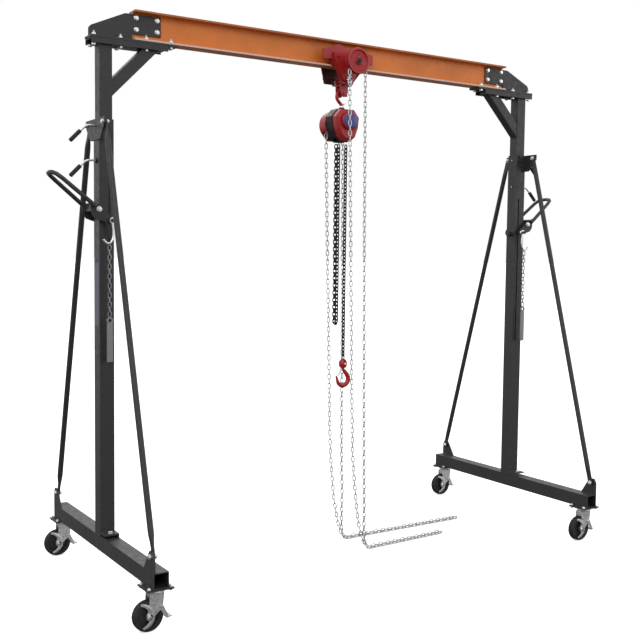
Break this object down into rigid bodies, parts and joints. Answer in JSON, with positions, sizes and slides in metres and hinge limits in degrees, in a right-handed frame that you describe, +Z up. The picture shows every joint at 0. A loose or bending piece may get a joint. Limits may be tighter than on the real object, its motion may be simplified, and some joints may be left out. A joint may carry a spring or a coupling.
{
  "type": "portable gantry crane with chain hoist",
  "caption": "Height-adjustable gantry crane: two A-frame legs on braked castors carry an I-beam, with a geared trolley and a hand chain hoist hanging from it.",
  "frame": {"origin": "centre of the footprint, on the floor", "axes": "+X along the beam, to the right as seen from the hand wheels' side; +Y away from that side, along the floor beams; +Z up"},
  "size_m": [2.8844, 1.225, 2.505],
  "materials": {
    "frame_paint": "satin charcoal powder coat",
    "beam_paint": "satin orange powder coat",
    "hoist_paint": "gloss deep red",
    "black_steel": "blackened",
    "zinc": "zinc plated",
    "tyre_rubber": "matt"
  },
  "bodies": {
    "left_leg": {"left_base_beam": "frame_paint", "left_outer_post": "frame_paint", "left_stay_front": "frame_paint", "left_stay_back": "frame_paint"},
    "gantry_top": {"i_beam": "beam_paint", "left_beam_bracket": "frame_paint", "right_beam_bracket": "frame_paint", "left_inner_post": "frame_paint", "right_inner_post": "frame_paint"},
    "right_leg": {"right_base_beam": "frame_paint", "right_outer_post": "frame_paint", "right_stay_front": "frame_paint", "right_stay_back": "frame_paint"},
    "left_pin_upper": {"left_pin_upper": "zinc"},
    "left_pin_lower": {"left_pin_lower": "zinc"},
    "left_lever": {"left_lift_lever": "frame_paint"},
    "left_lifting_hook": {"left_lever_hook": "zinc", "left_lift_chain": "zinc", "left_lift_bar": "zinc"},
    "castor_left_front": {"castor_fork_left_front": "zinc"},
    "wheel_left_front": {"castor_wheel_left_front": "tyre_rubber"},
    "pedal_left_front": {"castor_pedal_left_front": "zinc"},
    "castor_left_back": {"castor_fork_left_back": "zinc"},
    "wheel_left_back": {"castor_wheel_left_back": "tyre_rubber"},
    "pedal_left_back": {"castor_pedal_left_back": "zinc"},
    "right_pin_upper": {"right_pin_upper": "zinc"},
    "right_pin_lower": {"right_pin_lower": "zinc"},
    "right_lever": {"right_lift_lever": "frame_paint"},
    "right_lifting_hook": {"right_lever_hook": "zinc", "right_lift_chain": "zinc", "right_lift_bar": "zinc"},
    "castor_right_front": {"castor_fork_right_front": "zinc"},
    "wheel_right_front": {"castor_wheel_right_front": "tyre_rubber"},
    "pedal_right_front": {"castor_pedal_right_front": "zinc"},
    "castor_right_back": {"castor_fork_right_back": "zinc"},
    "wheel_right_back": {"castor_wheel_right_back": "tyre_rubber"},
    "pedal_right_back": {"castor_pedal_right_back": "zinc"},
    "trolley": {"trolley_plate_front": "hoist_paint", "trolley_plate_back": "hoist_paint", "load_bar": "zinc", "trolley_hand_chain": "zinc"},
    "roller_front_left": {"trolley_roller_front_left": "hoist_paint"},
    "roller_front_right": {"trolley_roller_front_right": "hoist_paint"},
    "roller_back_left": {"trolley_roller_back_left": "hoist_paint"},
    "roller_back_right": {"trolley_roller_back_right": "hoist_paint"},
    "trolley_wheel": {"trolley_hand_wheel": "hoist_paint"},
    "yoke": {"suspension_yoke": "hoist_paint"},
    "hanging_hook": {"top_hook": "hoist_paint"},
    "top_latch": {"top_latch": "zinc"},
    "hoist": {"hoist_frame": "black_steel", "hoist_gear_cover": "hoist_paint", "hoist_wheel_cover": "hoist_paint", "load_chain": "black_steel", "hoist_hand_chain": "zinc"},
    "hoist_wheel": {"hoist_hand_wheel": "zinc"},
    "sheave": {"load_sheave": "black_steel"},
    "hook_block": {"hook_block": "hoist_paint"},
    "chain_tail": {"load_chain_tail": "black_steel"},
    "load_hook": {"bottom_hook": "hoist_paint"},
    "bottom_latch": {"bottom_latch": "zinc"}
  },
  "joints": [
    {"name": "left_telescope", "type": "slide", "parent": "left_leg", "child": "gantry_top", "axis": [0, 0, 1], "range_m": [0, 0.876]},
    {"name": "right_telescope", "type": "slide", "parent": "gantry_top", "child": "right_leg", "axis": [0, 0, -1], "range_m": [0, 0.876]},
    {"name": "left_upper_pin_pull", "type": "slide", "parent": "left_leg", "child": "left_pin_upper", "axis": [-1, 0, 0], "range_m": [0, 0.075]},
    {"name": "left_lower_pin_pull", "type": "slide", "parent": "left_leg", "child": "left_pin_lower", "axis": [-1, 0, 0], "range_m": [0, 0.066]},
    {"name": "left_lever_swing", "type": "hinge", "parent": "left_leg", "child": "left_lever", "pos_m": [-1.2405, 0, 1.65], "axis": [0, -1, 0], "range_deg": [-15, 65]},
    {"name": "left_hook_hang", "type": "hinge", "parent": "left_lever", "child": "left_lifting_hook", "pos_m": [-1.188, -0.072, 1.604], "axis": [0, -1, 0], "range_deg": [-67, 17]},
    {"name": "swivel_left_front", "type": "hinge", "parent": "left_leg", "child": "castor_left_front", "pos_m": [-1.2, -0.56, 0.169], "axis": [0, 0, 1], "continuous": true},
    {"name": "roll_left_front", "type": "hinge", "parent": "castor_left_front", "child": "wheel_left_front", "pos_m": [-1.235, -0.56, 0.0625], "axis": [0, 1, 0], "continuous": true},
    {"name": "brake_left_front", "type": "hinge", "parent": "castor_left_front", "child": "pedal_left_front", "pos_m": [-1.187, -0.56, 0.095], "axis": [0, 1, 0], "range_deg": [0, 9]},
    {"name": "swivel_left_back", "type": "hinge", "parent": "left_leg", "child": "castor_left_back", "pos_m": [-1.2, 0.56, 0.169], "axis": [0, 0, 1], "continuous": true},
    {"name": "roll_left_back", "type": "hinge", "parent": "castor_left_back", "child": "wheel_left_back", "pos_m": [-1.235, 0.56, 0.0625], "axis": [0, 1, 0], "continuous": true},
    {"name": "brake_left_back", "type": "hinge", "parent": "castor_left_back", "child": "pedal_left_back", "pos_m": [-1.187, 0.56, 0.095], "axis": [0, 1, 0], "range_deg": [0, 9]},
    {"name": "right_upper_pin_pull", "type": "slide", "parent": "right_leg", "child": "right_pin_upper", "axis": [1, 0, 0], "range_m": [0, 0.075]},
    {"name": "right_lower_pin_pull", "type": "slide", "parent": "right_leg", "child": "right_pin_lower", "axis": [1, 0, 0], "range_m": [0, 0.066]},
    {"name": "right_lever_swing", "type": "hinge", "parent": "right_leg", "child": "right_lever", "pos_m": [1.2405, 0, 1.65], "axis": [0, 1, 0], "range_deg": [-15, 65]},
    {"name": "right_hook_hang", "type": "hinge", "parent": "right_lever", "child": "right_lifting_hook", "pos_m": [1.188, -0.072, 1.604], "axis": [0, 1, 0], "range_deg": [-67, 17]},
    {"name": "swivel_right_front", "type": "hinge", "parent": "right_leg", "child": "castor_right_front", "pos_m": [1.2, -0.56, 0.169], "axis": [0, 0, 1], "continuous": true},
    {"name": "roll_right_front", "type": "hinge", "parent": "castor_right_front", "child": "wheel_right_front", "pos_m": [1.165, -0.56, 0.0625], "axis": [0, 1, 0], "continuous": true},
    {"name": "brake_right_front", "type": "hinge", "parent": "castor_right_front", "child": "pedal_right_front", "pos_m": [1.213, -0.56, 0.095], "axis": [0, 1, 0], "range_deg": [0, 9]},
    {"name": "swivel_right_back", "type": "hinge", "parent": "right_leg", "child": "castor_right_back", "pos_m": [1.2, 0.56, 0.169], "axis": [0, 0, 1], "continuous": true},
    {"name": "roll_right_back", "type": "hinge", "parent": "castor_right_back", "child": "wheel_right_back", "pos_m": [1.165, 0.56, 0.0625], "axis": [0, 1, 0], "continuous": true},
    {"name": "brake_right_back", "type": "hinge", "parent": "castor_right_back", "child": "pedal_right_back", "pos_m": [1.213, 0.56, 0.095], "axis": [0, 1, 0], "range_deg": [0, 9]},
    {"name": "trolley_travel", "type": "slide", "parent": "gantry_top", "child": "trolley", "axis": [1, 0, 0], "range_m": [-0.8, 0.768]},
    {"name": "roller_front_left_spin", "type": "hinge", "parent": "trolley", "child": "roller_front_left", "pos_m": [-0.0455, -0.03, 2.4164], "axis": [0, 1, 0], "range_deg": [-1530, 1470]},
    {"name": "roller_front_right_spin", "type": "hinge", "parent": "trolley", "child": "roller_front_right", "pos_m": [0.0795, -0.03, 2.4164], "axis": [0, 1, 0], "range_deg": [-1530, 1470]},
    {"name": "roller_back_left_spin", "type": "hinge", "parent": "trolley", "child": "roller_back_left", "pos_m": [-0.0455, 0.03, 2.4164], "axis": [0, 1, 0], "range_deg": [-1530, 1470]},
    {"name": "roller_back_right_spin", "type": "hinge", "parent": "trolley", "child": "roller_back_right", "pos_m": [0.0795, 0.03, 2.4164], "axis": [0, 1, 0], "range_deg": [-1530, 1470]},
    {"name": "trolley_wheel_spin", "type": "hinge", "parent": "trolley", "child": "trolley_wheel", "pos_m": [0.017, -0.135, 2.396], "axis": [0, 1, 0], "range_deg": [-2520, 2620]},
    {"name": "yoke_swing", "type": "hinge", "parent": "trolley", "child": "yoke", "pos_m": [0.017, 0, 2.318], "axis": [0, 1, 0], "range_deg": [-5, 5]},
    {"name": "hoist_swing", "type": "hinge", "parent": "yoke", "child": "hanging_hook", "pos_m": [0.017, 0, 2.2553], "axis": [0, 1, 0], "range_deg": [-5, 5]},
    {"name": "top_latch_open", "type": "hinge", "parent": "hanging_hook", "child": "top_latch", "pos_m": [0.0295, 0, 2.2085], "axis": [0, -1, 0], "range_deg": [0, 35], "stiffness_Nm_per_rad": 0.01},
    {"name": "hoist_swivel", "type": "hinge", "parent": "hanging_hook", "child": "hoist", "pos_m": [0.017, 0, 2.19], "axis": [0, 0, 1], "range_deg": [-12, 12]},
    {"name": "hoist_wheel_spin", "type": "hinge", "parent": "hoist", "child": "hoist_wheel", "pos_m": [0.017, 0.06, 2.105], "axis": [0, -1, 0], "range_deg": [-33750, 42750]},
    {"name": "sheave_spin", "type": "hinge", "parent": "hoist", "child": "sheave", "pos_m": [0.017, 0, 2.105], "axis": [0, -1, 0], "range_deg": [-1900, 2400]},
    {"name": "hook_lift", "type": "slide", "parent": "hoist", "child": "hook_block", "axis": [0, 0, 1], "range_m": [-0.76, 0.96], "deforming": ["load_chain"]},
    {"name": "tail_run", "type": "slide", "parent": "hoist", "child": "chain_tail", "axis": [0, 0, 1], "range_m": [-0.48, 0.38], "deforming": ["load_chain_tail"]},
    {"name": "load_hook_swivel", "type": "hinge", "parent": "hook_block", "child": "load_hook", "pos_m": [0.046, 0, 0.903], "axis": [0, 0, 1], "continuous": true},
    {"name": "bottom_latch_open", "type": "hinge", "parent": "load_hook", "child": "bottom_latch", "pos_m": [0.035, 0, 0.8965], "axis": [0, -1, 0], "range_deg": [0, 35], "stiffness_Nm_per_rad": 0.01}
  ],
  "couplings": [
    {"joint": "left_hook_hang", "follows": "left_lever_swing", "ratio": -1},
    {"joint": "right_hook_hang", "follows": "right_lever_swing", "ratio": -1},
    {"joint": "roller_front_left_spin", "follows": "trolley_travel", "rad_per_m": 33.333},
    {"joint": "roller_front_right_spin", "follows": "trolley_travel", "rad_per_m": 33.333},
    {"joint": "roller_back_left_spin", "follows": "trolley_travel", "rad_per_m": 33.333},
    {"joint": "roller_back_right_spin", "follows": "trolley_travel", "rad_per_m": 33.333},
    {"joint": "trolley_wheel_spin", "follows": "trolley_travel", "rad_per_m": -57.143},
    {"joint": "sheave_spin", "follows": "hoist_wheel_spin", "ratio": 0.055556},
    {"joint": "hook_lift", "follows": "hoist_wheel_spin", "m_per_rad": 0.0012732},
    {"joint": "tail_run", "follows": "hoist_wheel_spin", "m_per_rad": -0.00063662}
  ]
}
